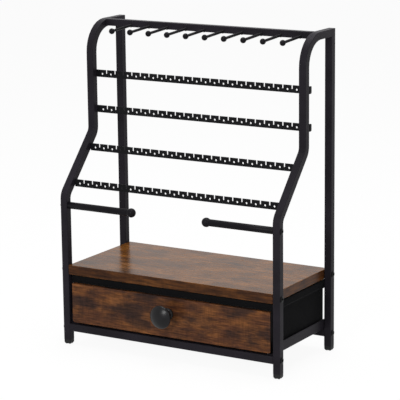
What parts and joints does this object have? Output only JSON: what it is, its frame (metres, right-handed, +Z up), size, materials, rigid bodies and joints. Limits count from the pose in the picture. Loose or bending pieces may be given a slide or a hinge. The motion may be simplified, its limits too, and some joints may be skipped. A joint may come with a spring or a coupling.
{
  "type": "jewelry stand with drawer",
  "caption": "Square-tube jewelry stand that leans back over a wooden shelf, with slotted strips, ball-ended pegs, two hanging rods and a fabric drawer with a wooden front and turned knob.",
  "frame": {"origin": "on the floor plane, under the centre of the overall box, which reaches from the knob face to the rear posts", "axes": "+X to the right seen from the front, +Y from the front to the back, +Z up"},
  "size_m": [0.3652, 0.1912, 0.4675],
  "materials": {
    "frame_steel": "satin powder coat",
    "strip_steel": "satin powder coat",
    "bolt_steel": "satin black oxide",
    "insert_steel": "zinc plated",
    "foot_plastic": "matte",
    "shelf_wood": "satin rustic brown",
    "front_wood": "satin rustic brown",
    "bin_fabric": "matte woven",
    "base_board": "matte",
    "knob_metal": "satin black"
  },
  "bodies": {
    "stand": {"bar_bolts": "bolt_steel", "board_bolts": "bolt_steel", "board_inserts": "insert_steel", "front_bottom_rail": "frame_steel", "left_front_foot": "foot_plastic", "left_front_tube": "frame_steel", "left_hanging_bar": "frame_steel", "left_rear_foot": "foot_plastic", "left_rear_post": "frame_steel", "left_side_rail": "frame_steel", "peg_01": "frame_steel", "peg_02": "frame_steel", "peg_03": "frame_steel", "peg_04": "frame_steel", "peg_05": "frame_steel", "peg_06": "frame_steel", "peg_07": "frame_steel", "peg_08": "frame_steel", "peg_09": "frame_steel", "peg_10": "frame_steel", "rail_bolts": "bolt_steel", "rail_inserts": "insert_steel", "rear_bottom_rail": "frame_steel", "right_front_foot": "foot_plastic", "right_front_tube": "frame_steel", "right_hanging_bar": "frame_steel", "right_rear_foot": "foot_plastic", "right_rear_post": "frame_steel", "right_side_rail": "frame_steel", "shelf_board": "shelf_wood", "slotted_strip_1": "strip_steel", "slotted_strip_2": "strip_steel", "slotted_strip_3": "strip_steel", "slotted_strip_4": "strip_steel", "top_crossbar": "frame_steel"},
    "drawer": {"bin_base_board": "base_board", "bin_floor": "bin_fabric", "bin_front_panel": "bin_fabric", "bin_left_panel": "bin_fabric", "bin_rear_panel": "bin_fabric", "bin_right_panel": "bin_fabric", "drawer_front": "front_wood", "drawer_hem": "bin_fabric", "front_screw_washers": "insert_steel", "front_screws": "insert_steel", "knob": "knob_metal", "knob_screw": "insert_steel", "knob_screw_washer": "insert_steel"}
  },
  "joints": [
    {"name": "drawer_slide", "type": "slide", "parent": "stand", "child": "drawer", "axis": [0, -1, 0], "range_m": [0, 0.13]}
  ]
}
